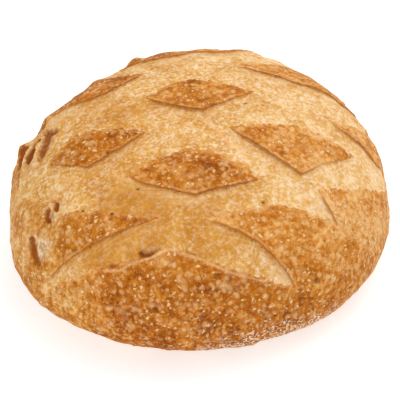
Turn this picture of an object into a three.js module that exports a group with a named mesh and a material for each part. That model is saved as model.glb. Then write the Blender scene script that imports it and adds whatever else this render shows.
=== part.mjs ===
// A round sourdough loaf whose dome was scored with a lattice of crossing cuts before baking.
// The crust between the cuts stands as raised tiles, each with a curled lip along its front edges.
// The dough that rose through the cuts fills the bands between the tiles.
// Units are millimetres and +Z is up. The flat foot lies on z = 0, and the origin is the middle of
// the bounding box's underside.
import * as THREE from "three";

// ---- Driving dimensions ----
const LOAF_RADIUS = 107; // mean radius of the widest ring
const LOAF_HEIGHT = 92;
const WIDEST_HEIGHT = 25; // height of the widest ring above the foot
const FOOT_RADIUS = 65; // flat underside
const DOME_POWER = 2.42; // 2 is an ellipse, more is fuller in the shoulder
const HEEL_POWER = 2.02;

const CRUST_CROWN = 0.6; // how far a tile swells above the dome at its middle
const BAND_DEPTH = 1.6; // how far the dough lies below the crust
const BAND_SWELL = 1.1; // how far it bulges back up in a wide crossing
const GROOVE_DEPTH = 1.9; // extra depth in the groove under a full lip
const LIP_CURL = 0.5; // how far a lip turns up
const LIP_OVERHANG = 0.9; // how far a lip reaches over its groove
const GROOVE_UNDERCUT = 0.5; // how far the groove runs back under the lip
const GROOVE_REACH = 5; // how far from the lip the groove has faded
const TEAR_WALL = 3; // width of the steep side of a tear
const TEAR_NARROWEST = 0.5; // width of a tear at its ends, as a share of its full width
const SCORED_RADIUS = 118; // distance from the crown, along the surface, where the cuts run out
const SCORED_FADE = 14;

const FINE_STEP = 3.4; // mesh spacing on the scored dome
const SIDE_STEP = 7; // on the side and the heel
const FOOT_STEP = 16;
const RING_SPACING = 0.93; // gap between rings, as a share of the spacing round a ring

// ---- The loaf is not quite round ----
// Each wave is a share of the radius, by the number of lobes round the loaf.
const OUTLINE_WAVES = [
  { lobes: 2, cos: 0.025, sin: 0.022 },
  { lobes: 3, cos: -0.002, sin: -0.021 },
  { lobes: 4, cos: 0.002, sin: -0.004 },
];
const WIDEST_TILT = { cos: 1.2, sin: 1.6 };
const FOOT_SHIFT = { cos: -0.9, sin: 0.7 };

// Places on the unrolled surface where the loaf swells out of the plain dome, or falls short of it.
const SWELLINGS = [
  { at: [-112.5, 21], height: 3.9, reach: 6.3 },
  { at: [-116, 9], height: 0.8, reach: 6 },
  { at: [-127, -3], height: -1.6, reach: 8 },
  { at: [-105, 36], height: -1.4, reach: 5 },
  { at: [-99, 45], height: 1.8, reach: 6 },
  { at: [-81, 59], height: -2.6, reach: 8 },
  { at: [-68, 67], height: 0.8, reach: 5 },
  { at: [-54, 80], height: -2.4, reach: 7 },
  { at: [-42, 85], height: 2.4, reach: 5 },
  { at: [-28, 92], height: 1, reach: 9 },
  { at: [-7, 93], height: -1.2, reach: 7 },
  { at: [1, 91], height: -0.6, reach: 5 },
  { at: [12, 94], height: -1.1, reach: 7 },
  { at: [30, 90], height: 1.3, reach: 12 },
  { at: [48, 84], height: 0.5, reach: 12 },
  { at: [81, 67], height: -1.5, reach: 9 },
  { at: [92, 55], height: -0.8, reach: 8 },
  { at: [106, 37], height: 1.1, reach: 13 },
  { at: [130, 0], height: -1.3, reach: 15 },
  { at: [137, -58], height: 0.7, reach: 14 },
  { at: [-141, -24], height: -2.2, reach: 20 },
  { at: [-136, -56], height: 1, reach: 12 },
  { at: [-89, -123], height: 0.4, reach: 10 },
  { at: [-76, 86], height: -2.2, reach: 18 },
  { at: [0, 112], height: -1.4, reach: 24 },
  { at: [92, 92], height: -1.6, reach: 15 },
  { at: [-122, -76], height: 1.6, reach: 26 },
  { at: [-70, -137], height: -0.4, reach: 18 },
  { at: [38, -152], height: 1, reach: 14 },
  { at: [85, -128], height: 1, reach: 16 },
];

// Soft lumps all over the surface: wavelength, height and phase along each axis.
const LUMPS = [
  { wave: 62, height: 0.55, phase: [0.4, 1.9, 0.7] },
  { wave: 37, height: 0.4, phase: [2.1, 0.3, 1.4] },
  { wave: 23, height: 0.25, phase: [1.2, 2.6, 0.1] },
];

// ---- The tiles of crust ----
// A tile has four corners, given in millimetres from the crown along the surface: [right, back].
// bow is how far each edge swells outwards, in the order left-top, top-right, right-bottom, bottom-left.
// lip is how strongly the right-bottom and the bottom-left edge are curled. Tiles at the rim run on
// past the ends of the cuts and join there into the plain crust of the side.
const TILES = {
  crownFront: {
    corners: [[-38, -36.8], [-8.7, -20.8], [33.4, -41.6], [-2, -54]],
    bow: [1.5, 4.5, 0, 1.5],
    lip: [0.8, 0.5],
  },
  crownBack: {
    corners: [[-32, 25.5], [-6, 40], [32, 29.5], [2, 10]],
    bow: [2.3, 0, -0.5, 1.8],
    lip: [0.5, 1],
  },
  crownRight: {
    corners: [[16, -3.9], [55, 3], [88, -9.5], [55.5, -32.5]],
    bow: [0.5, 0, -1, 0.5],
    lip: [0.45, 1],
  },
  crownLeft: {
    corners: [[-83, -16.5], [-67, 2.5], [-28, -6], [-58.5, -26]],
    bow: [0, 0, 1, 0],
    lip: [1, 0.35],
  },
  frontLeft: {
    corners: [[-125, -72], [-72, -51], [-22.5, -66.3], [-118, -90]],
    bow: [0, 1, -2, 0],
    lip: [0.9, 0],
  },
  front: {
    corners: [[-120, -87.5], [-16, -85.5], [100, -97], [0, -165]],
    bow: [-1, -9, 20, 20],
    lip: [0, 0],
  },
  frontRight: {
    corners: [[1.7, -69.8], [46, -55.5], [145, -60], [72, -113]],
    bow: [-0.5, -1, 20, -8],
    lip: [0, 0.9],
  },
  sideRight: {
    corners: [[64.6, -40.3], [140, 6], [150, -40], [98, -81]],
    bow: [-6.2, 0, 0, 0],
    lip: [0, 0.9],
  },
  farRight: {
    corners: [[74.5, 12.6], [128, 37], [140, 22], [109, 0.5]],
    bow: [0, 0, 0, 0],
    lip: [0.4, 0.9],
  },
  backRight: {
    corners: [[17.3, 55.5], [95, 95], [135, 70], [90, 44]],
    bow: [-2, 10, 0, 1.5],
    lip: [0.4, 0.8],
  },
  back: {
    corners: [[-68, 108], [0, 165], [34, 86], [-45, 77]],
    bow: [0, 20, 4, 0],
    lip: [0.5, 0.6],
  },
  backLeft: {
    corners: [[-97, 43], [-68, 68], [-33, 53], [-70, 33]],
    bow: [0, -4, 3.5, 1.5],
    lip: [0.5, 0.3],
  },
  sideBackLeft: {
    corners: [[-130, 60], [-106, 85], [-98, 44], [-103, 36]],
    bow: [0, 0, 0, 0],
    lip: [0.6, 0.5],
  },
  sideLeft: {
    corners: [[-140, 0], [-113, 27], [-107, 3], [-110, -22]],
    bow: [0, 0, 0, 0],
    lip: [0.2, 0],
  },
  sideFrontLeft: {
    corners: [[-135, -45], [-110, -26], [-74, -41], [-118, -72]],
    bow: [0, 0, 1, 0],
    lip: [0.4, 0],
  },
};

// ---- Tears where the skin split ----
// The path follows the steep wall of the hollow, which falls away gently on the left-hand side. The third
// number of each point is how strong the tear is there: a weaker tear is shallower and narrower.
const TEARS = [
  {
    path: [
      [-79, 9.5, 0],
      [-84, 13, 0.6],
      [-91, 17.3, 1],
      [-90.6, 6, 0.7],
      [-91, -3, 0.45],
      [-91.6, -17, 0],
    ],
    depth: 3,
    reach: 8.5,
  },
  {
    path: [[-92, 10.5, 0], [-95.5, 12, 0.5], [-104, 11.5, 1], [-102.8, 4, 0.8], [-101.2, -6, 0]],
    depth: 3.8,
    reach: 8,
  },
  {
    path: [[-105, 15, 0], [-108, 17, 0.8], [-111.5, 18.5, 1], [-111.5, 9, 0.6], [-109.8, -7, 0]],
    depth: 2.2,
    reach: 4.5,
  },
  {
    path: [[-97.3, -52, 0], [-100.8, -57.4, 0.8], [-101.8, -63, 1], [-100.8, -69, 0.8], [-96.5, -76, 0]],
    depth: 2.8,
    reach: 17,
  },
  { path: [[-80.5, -43.8, 0], [-85, -45.5, 0.8], [-85.8, -49, 1], [-83, -54, 0]], depth: 2.6, reach: 7 },
  { path: [[-76.3, -41.5, 0], [-78.4, -45, 0.9], [-78.2, -49, 0]], depth: 2, reach: 3.5 },
  {
    path: [[-34, -82, 0], [-32, -86, 1], [-28.5, -86.4, 0.8], [-25.5, -85, 0.3], [-19, -81.5, 0]],
    depth: 3,
    reach: 4,
  },
];

// ---- Small helpers ----
const clamp01 = (x) => Math.min(1, Math.max(0, x));
const mix = (a, b, t) => a + (b - a) * t;

function smoothStep(low, high, x) {
  const t = clamp01((x - low) / (high - low));
  return t * t * (3 - 2 * t);
}

// ---- The plain loaf ----
// turn runs from 0 at the crown over 1 at the widest ring to 2 at the edge of the foot.
function profile(turn, radius, widest, foot) {
  const angle = (turn * Math.PI) / 2;
  if (turn <= 1) {
    const out = Math.sin(angle) ** (2 / DOME_POWER);
    const rise = Math.max(0, Math.cos(angle)) ** (2 / DOME_POWER);
    return [radius * out, mix(widest, LOAF_HEIGHT, rise)];
  }
  const below = angle - Math.PI / 2;
  const out = Math.max(0, Math.cos(below)) ** (2 / HEEL_POWER);
  const drop = Math.sin(below) ** (2 / HEEL_POWER);
  return [mix(foot, radius, out), widest * (1 - drop)];
}

// Distance from the crown along the mean profile, tabled against turn.
const PROFILE_STEPS = 400;
const arcTable = [0];
for (let i = 1; i <= PROFILE_STEPS; i++) {
  const at = (k) => profile((2 * k) / PROFILE_STEPS, LOAF_RADIUS, WIDEST_HEIGHT, FOOT_RADIUS);
  const [r0, z0] = at(i - 1);
  const [r1, z1] = at(i);
  arcTable.push(arcTable[i - 1] + Math.hypot(r1 - r0, z1 - z0));
}
const FOOT_ARC = arcTable[PROFILE_STEPS];
const WIDEST_ARC = arcTable[PROFILE_STEPS / 2];

function turnAt(arc) {
  const wanted = Math.min(arc, FOOT_ARC - 1e-6);
  let i = 1;
  while (arcTable[i] < wanted) i++;
  const share = (wanted - arcTable[i - 1]) / (arcTable[i] - arcTable[i - 1]);
  return (2 * (i - 1 + share)) / PROFILE_STEPS;
}

function outline(bearing) {
  let scale = 1;
  for (const wave of OUTLINE_WAVES) {
    scale += wave.cos * Math.cos(wave.lobes * bearing) + wave.sin * Math.sin(wave.lobes * bearing);
  }
  return LOAF_RADIUS * scale;
}

const tilted = (mean, tilt, bearing) =>
  mean + tilt.cos * Math.cos(bearing) + tilt.sin * Math.sin(bearing);

// The point of the plain loaf at [u, v], its place on the surface unrolled round the crown.
function plainPoint(u, v) {
  const bearing = Math.atan2(v, u);
  const widest = tilted(WIDEST_HEIGHT, WIDEST_TILT, bearing);
  const foot = tilted(FOOT_RADIUS, FOOT_SHIFT, bearing);
  const [r, z] = profile(turnAt(Math.hypot(u, v)), outline(bearing), widest, foot);
  return new THREE.Vector3(r * Math.cos(bearing), r * Math.sin(bearing), z);
}

function plainNormal(u, v) {
  const d = 0.4;
  const alongU = plainPoint(u + d, v).sub(plainPoint(u - d, v));
  const alongV = plainPoint(u, v + d).sub(plainPoint(u, v - d));
  return alongU.cross(alongV).normalize();
}

function swellHeight(u, v) {
  let height = 0;
  for (const { at, height: size, reach } of SWELLINGS) {
    height += size * Math.exp(-(((u - at[0]) ** 2 + (v - at[1]) ** 2) / reach ** 2));
  }
  return height;
}

function lumpHeight(p) {
  let height = 0;
  for (const { wave, height: size, phase } of LUMPS) {
    const k = (2 * Math.PI) / wave;
    const x = Math.sin(k * p.x + phase[0] + 0.6 * Math.sin(k * p.y));
    const y = Math.sin(k * p.y + phase[1] + 0.6 * Math.sin(k * p.z));
    const z = Math.sin(k * p.z + phase[2] + 0.6 * Math.sin(k * p.x));
    height += (size * (x + y + z)) / 2;
  }
  return height;
}

// ---- Tile edges and tears as polylines ----
const EDGE_STEPS = 8;

// An edge bowed outwards, to the left of its direction.
function bowedEdge([u0, v0], [u1, v1], bow) {
  const length = Math.hypot(u1 - u0, v1 - v0);
  const left = [-(v1 - v0) / length, (u1 - u0) / length];
  return Array.from({ length: EDGE_STEPS + 1 }, (_, i) => {
    const t = i / EDGE_STEPS;
    const out = 4 * t * (1 - t) * bow;
    return [mix(u0, u1, t) + left[0] * out, mix(v0, v1, t) + left[1] * out];
  });
}

// A lip is a polyline of [u, v, strength], with its groove on the left.
function tileLip(rightBottom, bottomLeft, [first, second]) {
  const fadeIn = (t) => clamp01(t / 0.2);
  const nearBottom = (t) => smoothStep(0.7, 1, t) / 2;
  const a = rightBottom.map(([u, v], i) => {
    const t = i / EDGE_STEPS;
    return [u, v, fadeIn(t) * mix(first, second, nearBottom(t))];
  });
  const b = bottomLeft.map(([u, v], i) => {
    const t = i / EDGE_STEPS;
    return [u, v, fadeIn(1 - t) * mix(second, first, nearBottom(1 - t))];
  });
  return [...a, ...b.slice(1)];
}

function makeTile({ corners: [left, top, right, bottom], bow, lip }) {
  const leftTop = bowedEdge(left, top, bow[0]);
  const topRight = bowedEdge(top, right, bow[1]);
  const rightBottom = bowedEdge(right, bottom, bow[2]);
  const bottomLeft = bowedEdge(bottom, left, bow[3]);
  return {
    outline: [leftTop, topRight, rightBottom, bottomLeft].flatMap((edge) => edge.slice(1)),
    soft: [...leftTop, ...topRight.slice(1)],
    lip: tileLip(rightBottom, bottomLeft, lip),
  };
}

const tiles = Object.values(TILES).map(makeTile);

// The nearest place on a polyline: how far, on which side, where and how strong the line is there.
function nearest(points, u, v) {
  let best = { distance: Infinity };
  for (let i = 1; i < points.length; i++) {
    const [u0, v0, s0 = 0] = points[i - 1];
    const [u1, v1, s1 = 0] = points[i];
    const du = u1 - u0;
    const dv = v1 - v0;
    const t = clamp01(((u - u0) * du + (v - v0) * dv) / (du * du + dv * dv));
    const at = [u0 + du * t, v0 + dv * t];
    const distance = Math.hypot(u - at[0], v - at[1]);
    if (distance < best.distance) {
      const length = Math.hypot(du, dv);
      const side = Math.sign(du * (v - v0) - dv * (u - u0));
      const past = (i === 1 && t === 0) || (i === points.length - 1 && t === 1);
      best = { distance, side, at, strength: past ? 0 : mix(s0, s1, t), out: [-dv / length, du / length] };
    }
  }
  return best;
}

function inside(outlinePoints, u, v) {
  let odd = false;
  for (let i = 0, j = outlinePoints.length - 1; i < outlinePoints.length; j = i++) {
    const [u0, v0] = outlinePoints[i];
    const [u1, v1] = outlinePoints[j];
    if (v0 > v !== v1 > v && u < ((u1 - u0) * (v - v0)) / (v1 - v0) + u0) odd = !odd;
  }
  return odd;
}

const tileAt = (u, v) => tiles.find((tile) => inside(tile.outline, u, v));
const closed = (points) => [points[points.length - 1], ...points];

// ---- Relief: what the scoring adds to the plain loaf ----
// grooveSide says whether a place lies on the groove's side of a lip.
function lipNear(u, v, grooveSide) {
  let best = { distance: Infinity, strength: 0 };
  for (const { lip } of tiles) {
    const found = nearest(lip, u, v);
    if (found.distance < best.distance && found.side > 0 === grooveSide) best = found;
  }
  return best;
}

// How much of the relief is left at a place: all of it on the dome, none below the ends of the cuts.
const scoredAt = (u, v) =>
  1 - smoothStep(SCORED_RADIUS, SCORED_RADIUS + SCORED_FADE, Math.hypot(u, v));

function crustHeight(tile, u, v) {
  const edge = nearest(closed(tile.outline), u, v).distance;
  const lip = nearest(tile.lip, u, v);
  const curl = LIP_CURL * lip.strength * Math.exp(-lip.distance / 3);
  return CRUST_CROWN * (1 - Math.exp(-edge / 7)) + curl;
}

function bandHeight(u, v) {
  const soft = Math.min(...tiles.map((tile) => nearest(tile.soft, u, v).distance));
  const lip = lipNear(u, v, true);
  const climb = smoothStep(0, 13, soft);
  const settle = mix(smoothStep(0, 6, lip.distance), 1, lip.strength);
  const swell = BAND_SWELL * smoothStep(5, 13, Math.min(soft, lip.distance));
  const groove = GROOVE_DEPTH * lip.strength * Math.exp(-lip.distance / GROOVE_REACH);
  return swell - BAND_DEPTH * climb * settle - groove;
}

function tearHeight(u, v) {
  let height = 0;
  for (const { path, depth, reach } of TEARS) {
    const wall = nearest(path, u, v);
    const width = (wall.side > 0 ? reach : TEAR_WALL) * mix(TEAR_NARROWEST, 1, wall.strength);
    height -= depth * smoothStep(0, 0.5, wall.strength) * Math.exp(-((wall.distance / width) ** 2));
  }
  return height;
}

function relief(u, v) {
  const scored = scoredAt(u, v);
  if (scored === 0) return 0;
  const tile = tileAt(u, v);
  return scored * ((tile ? crustHeight(tile, u, v) : bandHeight(u, v)) + tearHeight(u, v));
}

// ---- Mesh places on the unrolled surface ----
// A place near a lip moves onto the lip or onto the groove beside it, so that both show as clean lines.
const SNAP = FINE_STEP * 0.5;
const WEAKEST_LIP = 0.25;
const SWAP_PASSES = 8;

function buriedInTile(lip) {
  const [u, v] = [lip.at[0] + lip.out[0] * 0.8, lip.at[1] + lip.out[1] * 0.8];
  return tileAt(u, v) !== undefined;
}

// Rows of vertices across a lip, from the crust to the band. Elsewhere a place has no row.
const ROW = { crust: 0, lip: 1, groove: 2, floor: 3 };

// flat is where the place lies before the lip overhangs and the groove runs back under it.
function meshPlace(u, v) {
  const plain = { u, v, flat: [u, v], height: relief(u, v) };
  const outer = lipNear(u, v, true);
  const inner = lipNear(u, v, false);
  const lip = outer.distance < inner.distance ? outer : inner;
  const strength = lip.strength * scoredAt(u, v);
  if (strength < WEAKEST_LIP || lip.distance > 5 * SNAP || buriedInTile(lip)) return plain;
  const across = (distance) => lip.at.map((x, axis) => x + lip.out[axis] * distance);
  const place = (row, from, to, sample) => {
    const [newU, newV] = across(to);
    return { u: newU, v: newV, flat: across(from), height: relief(...across(sample)), row };
  };
  if (lip.distance < SNAP) return place(ROW.lip, 0, LIP_OVERHANG * strength, -0.2);
  if (lip === inner) return { ...plain, row: ROW.crust };
  if (lip.distance > 3 * SNAP) return { ...plain, row: ROW.floor };
  return place(ROW.groove, FINE_STEP, mix(FINE_STEP, -GROOVE_UNDERCUT, strength), 0.4);
}

// ---- Rings of vertices, from the crown down to the foot ----
function ringArcs() {
  const arcs = [];
  let arc = FINE_STEP;
  while (arc < FOOT_ARC - SIDE_STEP / 2) {
    arcs.push(arc);
    arc += mix(FINE_STEP, SIDE_STEP, smoothStep(SCORED_RADIUS, WIDEST_ARC, arc)) * RING_SPACING;
  }
  return [...arcs, FOOT_ARC];
}

function ringCount(arc) {
  const [r] = profile(turnAt(arc), LOAF_RADIUS, WIDEST_HEIGHT, FOOT_RADIUS);
  const step = mix(FINE_STEP, SIDE_STEP, smoothStep(SCORED_RADIUS, WIDEST_ARC, arc));
  return Math.max(6, Math.round((2 * Math.PI * r) / step));
}

function dressedPoint({ u, v, flat, height, row }) {
  const point = plainPoint(u, v);
  const aboveFoot = smoothStep(0, 14, point.z);
  const uneven = aboveFoot * (swellHeight(u, v) + lumpHeight(point));
  point.addScaledVector(plainNormal(u, v), height + uneven);
  return { point, flat, row };
}

function sideRing(arc, index) {
  const count = ringCount(arc);
  return Array.from({ length: count }, (_, k) => {
    const bearing = (2 * Math.PI * (k + (index % 2) / 2)) / count;
    return dressedPoint(meshPlace(arc * Math.cos(bearing), arc * Math.sin(bearing)));
  });
}

function footPoint(radius, bearing) {
  const point = new THREE.Vector3(radius * Math.cos(bearing), radius * Math.sin(bearing), 0);
  return { point };
}

function footEdge() {
  const count = ringCount(FOOT_ARC);
  return Array.from({ length: count }, (_, k) => {
    const bearing = (2 * Math.PI * k) / count;
    const radius = tilted(FOOT_RADIUS, FOOT_SHIFT, bearing);
    return footPoint(radius, bearing);
  });
}

function footRings() {
  const rings = [];
  for (let radius = FOOT_RADIUS - FOOT_STEP; radius > FOOT_STEP / 2; radius -= FOOT_STEP) {
    const count = Math.max(6, Math.round((2 * Math.PI * radius) / FOOT_STEP));
    rings.push(Array.from({ length: count }, (_, k) => footPoint(radius, (2 * Math.PI * k) / count)));
  }
  return rings;
}

// ---- Faces ----
const vertices = [];
const faces = [];

function addRing(points) {
  const first = vertices.length;
  vertices.push(...points);
  return { first, count: points.length };
}

// Joins two rings of any counts, always taking the step that lags behind round the loaf.
function joinRings(upper, lower) {
  let a = 0;
  let b = 0;
  while (a < upper.count || b < lower.count) {
    const upperNow = upper.first + (a % upper.count);
    const lowerNow = lower.first + (b % lower.count);
    const lowerLags = (b + 1) / lower.count <= (a + 1) / upper.count;
    if (b < lower.count && (a >= upper.count || lowerLags)) {
      faces.push([upperNow, lowerNow, lower.first + ((b + 1) % lower.count)]);
      b++;
    } else {
      faces.push([upperNow, lowerNow, upper.first + ((a + 1) % upper.count)]);
      a++;
    }
  }
}

// An edge that leaves out a row, such as one from the crust down to the groove, cuts a notch in the lip.
const rowsBetween = (a, b) => Math.abs(vertices[a].row - vertices[b].row);

function leapingEdges() {
  const found = new Map();
  faces.forEach((face, index) => {
    face.forEach((from, k) => {
      const to = face[(k + 1) % 3];
      if (!(rowsBetween(from, to) > 1)) return;
      const key = from < to ? `${from},${to}` : `${to},${from}`;
      const sides = found.get(key) ?? [];
      sides.push({ index, from, to, apex: face[(k + 2) % 3] });
      found.set(key, sides);
    });
  });
  return [...found.values()];
}

function turnsLeft(a, b, c) {
  const [[ua, va], [ub, vb], [uc, vc]] = [a, b, c].map((i) => vertices[i].flat);
  return (ub - ua) * (vc - va) - (vb - va) * (uc - ua) > 0;
}

// Such an edge is swapped for the other diagonal of its two faces where that leaves out fewer rows.
function swapLeaps() {
  const moved = new Set();
  for (const [one, two] of leapingEdges()) {
    const shorter = rowsBetween(one.apex, two.apex) < rowsBetween(one.from, one.to);
    if (!shorter || moved.has(one.index) || moved.has(two.index)) continue;
    const newFaces = [
      [one.apex, one.from, two.apex],
      [two.apex, two.from, one.apex],
    ];
    if (!newFaces.every((face) => turnsLeft(...face))) continue;
    [faces[one.index], faces[two.index]] = newFaces;
    moved.add(one.index).add(two.index);
  }
  return moved.size;
}

function loafGeometry() {
  const sides = ringArcs().slice(0, -1).map(sideRing);
  const crown = addRing([dressedPoint(meshPlace(0, 0))]);
  const rings = [...sides, footEdge(), ...footRings()].map(addRing);
  const foot = addRing([footPoint(0, 0)]);
  const first = rings[0];
  const last = rings[rings.length - 1];
  for (let k = 0; k < first.count; k++) {
    faces.push([crown.first, first.first + k, first.first + ((k + 1) % first.count)]);
  }
  for (let i = 1; i < rings.length; i++) joinRings(rings[i - 1], rings[i]);
  for (let k = 0; k < last.count; k++) {
    faces.push([foot.first, last.first + ((k + 1) % last.count), last.first + k]);
  }
  for (let pass = 0; pass < SWAP_PASSES && swapLeaps() > 0; pass++);
  const geometry = new THREE.BufferGeometry();
  geometry.setFromPoints(vertices.map(({ point }) => point));
  geometry.setIndex(faces.flat());
  return geometry;
}

// ---- The loaf ----
const geometry = loafGeometry();
geometry.computeBoundingBox();
const middle = geometry.boundingBox.getCenter(new THREE.Vector3());
geometry.translate(-middle.x, -middle.y, 0);
geometry.computeVertexNormals();

const crust = new THREE.MeshStandardMaterial({ color: 0xd09a58, roughness: 0.72, metalness: 0 });
const loaf = new THREE.Mesh(geometry, crust);
loaf.name = "loaf";

const group = new THREE.Group();
group.add(loaf);
export default group;
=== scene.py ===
"""The looks of the sourdough loaf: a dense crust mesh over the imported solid, and the studio.

Shapes are worked out in millimetres. A place on the loaf is [u, v], its place on the surface
unrolled round the crown: u to the right and v to the back. Names and sizes are those of the solid,
but cuts, lips and tears are slighter, because this finer mesh shows them better.
"""
import math

import bpy
import numpy as np
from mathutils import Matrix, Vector
from mathutils.kdtree import KDTree


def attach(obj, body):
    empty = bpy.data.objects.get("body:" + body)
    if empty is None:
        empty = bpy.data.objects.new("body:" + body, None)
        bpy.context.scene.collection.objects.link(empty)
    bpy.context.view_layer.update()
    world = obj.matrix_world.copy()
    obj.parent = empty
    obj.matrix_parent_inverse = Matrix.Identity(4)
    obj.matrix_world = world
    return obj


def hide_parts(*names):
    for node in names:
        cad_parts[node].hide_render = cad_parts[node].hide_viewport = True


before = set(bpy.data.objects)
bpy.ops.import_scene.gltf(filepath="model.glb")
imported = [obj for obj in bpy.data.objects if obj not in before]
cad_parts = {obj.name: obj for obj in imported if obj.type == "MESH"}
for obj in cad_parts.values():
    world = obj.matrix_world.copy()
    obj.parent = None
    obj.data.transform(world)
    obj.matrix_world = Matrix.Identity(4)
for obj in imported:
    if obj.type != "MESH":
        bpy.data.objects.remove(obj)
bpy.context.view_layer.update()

MM = 0.001

# ---- The plain loaf, in millimetres ----
LOAF_RADIUS = 107  # mean radius of the widest ring
LOAF_HEIGHT = 92
WIDEST_HEIGHT = 25  # height of the widest ring above the foot
FOOT_RADIUS = 65  # flat underside
DOME_POWER = 2.42  # 2 is an ellipse, more is fuller in the shoulder
HEEL_POWER = 2.02
OUTLINE_WAVES = [(2, 0.025, 0.022), (3, -0.002, -0.021), (4, 0.002, -0.004)]  # lobes, cos, sin
WIDEST_TILT = (1.2, 1.6)  # cos, sin
FOOT_SHIFT = (-0.9, 0.7)  # cos, sin
UNEVEN_FADE = 14  # height over which the unevenness fades in
MIDDLE = (-0.404, 2.214)  # the middle of the solid's box, before it is centred

# ---- Relief of the crust and the cuts ----
CRUST_CROWN = 0.6  # how far a tile swells above the dome at its middle
BAND_DEPTH = 1.0  # how far the dough lies below the crust
BAND_SWELL = 1.1  # how far it bulges back up in a wide crossing
GROOVE_DEPTH = 0.65  # extra depth beside a full lip
GROOVE_REACH = 3.5
LIP_CURL = 0.4  # how far a lip turns up
LIP_OVERHANG = 0.3  # how far it reaches over its groove
LIP_WALL = 0.45  # width of the painted shadow on its dark wall
RIM_INSET = 1  # how far the pale rim of a tile, partly a painted highlight, lies inside its edge
RIM_WIDTH = 0.7
SCORED_RADIUS = 118  # distance from the crown where the cuts run out
SCORED_FADE = 14
BAND_CLOSING = 1.3  # how fast the bands at the back narrow to a point
BAND_CLOSING_START = 106

# Swellings and hollows: place, height and reach.
SWELLINGS = [
    ((-112.5, 21), 3.9, 6.3),
    ((-116, 9), 0.8, 6),
    ((-127, -3), -1.6, 8),
    ((-105, 36), -1.4, 5),
    ((-99, 45), 1.8, 6),
    ((-81, 59), -2.6, 8),
    ((-68, 67), 0.8, 5),
    ((-54, 80), -2.4, 7),
    ((-42, 85), 2.4, 5),
    ((-28, 92), 1, 9),
    ((-7, 93), -1.2, 7),
    ((1, 91), -0.6, 5),
    ((12, 94), -1.1, 7),
    ((30, 90), 1.3, 12),
    ((48, 84), 0.5, 12),
    ((81, 67), -1.5, 9),
    ((92, 55), -0.8, 8),
    ((106, 37), 1.1, 13),
    ((130, 0), -1.3, 15),
    ((137, -58), 0.7, 14),
    ((-141, -24), -2.2, 20),
    ((-136, -56), 1, 12),
    ((-89, -123), 0.4, 10),
    ((-76, 86), -2.2, 18),
    ((0, 112), -1.4, 24),
    ((92, 92), -1.6, 15),
    ((-122, -76), 1.6, 26),
    ((-70, -137), -0.4, 18),
    ((38, -152), 1, 14),
    ((85, -128), 1, 16),
]

# Soft lumps: wavelength, height and phases along x, y and z.
LUMPS = [(62, 0.55, (0.4, 1.9, 0.7)), (37, 0.4, (2.1, 0.3, 1.4)), (23, 0.25, (1.2, 2.6, 0.1))]

# Tiles of crust: corners left, top, right, bottom; the bow of each edge; the curl of the two front
# edges; and how deeply the tile is browned.
TILES = {
    "crownFront": (
        [(-38, -36.8), (-8.7, -20.8), (33.4, -41.6), (-2, -54)],
        (1.5, 4.5, 0, 1.5), (0.7, 0.45), 0.59,
    ),
    "crownBack": (
        [(-32, 25.5), (-6, 40), (32, 29.5), (2, 10)],
        (2.3, 0, -0.5, 1.8), (0.35, 0.8), 0.5,
    ),
    "crownRight": (
        [(16, -3.9), (55, 3), (88, -9.5), (55.5, -32.5)],
        (0.5, 0, -1, 0.5), (0.25, 0.8), 0.45,
    ),
    "crownLeft": (
        [(-83, -16.5), (-67, 2.5), (-28, -6), (-58.5, -26)],
        (0, 0, 1, 0), (0.7, 0.25), 0.66,
    ),
    "frontLeft": (
        [(-125, -72), (-72, -51), (-22.5, -66.3), (-118, -90)],
        (0, 1, -2, 0), (0.55, 0), 0.64,
    ),
    "front": (
        [(-120, -87.5), (-16, -85.5), (100, -97), (0, -165)],
        (-1, -9, 20, 20), (0, 0), 0.71,
    ),
    "frontRight": (
        [(1.7, -69.8), (46, -55.5), (145, -60), (72, -113)],
        (-0.5, -1, 20, -8), (0, 0.65), 0.55,
    ),
    "sideRight": (
        [(64.6, -40.3), (140, 6), (150, -40), (98, -81)],
        (-6.2, 0, 0, 0), (0, 0.7), 0.35,
    ),
    "farRight": (
        [(74.5, 12.6), (128, 37), (140, 22), (109, 0.5)],
        (0, 0, 0, 0), (0.2, 0.6), 0.36,
    ),
    "backRight": (
        [(17.3, 55.5), (95, 95), (135, 70), (90, 44)],
        (-2, 10, 0, 1.5), (0.3, 0.6), 0.42,
    ),
    "back": (
        [(-68, 108), (0, 165), (34, 86), (-45, 77)],
        (0, 20, 4, 0), (0.5, 0.6), 0.55,
    ),
    "backLeft": (
        [(-97, 43), (-68, 68), (-33, 53), (-70, 33)],
        (0, -4, 3.5, 1.5), (0.5, 0.3), 0.62,
    ),
    "sideBackLeft": (
        [(-130, 60), (-106, 85), (-98, 44), (-103, 36)],
        (0, 0, 0, 0), (0.6, 0.5), 0.55,
    ),
    "sideLeft": (
        [(-140, 0), (-113, 27), (-107, 3), (-110, -22)],
        (0, 0, 0, 0), (0.2, 0), 0.5,
    ),
    "sideFrontLeft": (
        [(-135, -45), (-110, -26), (-74, -41), (-118, -72)],
        (0, 0, 1, 0), (0.4, 0), 0.35,
    ),
}
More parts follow.
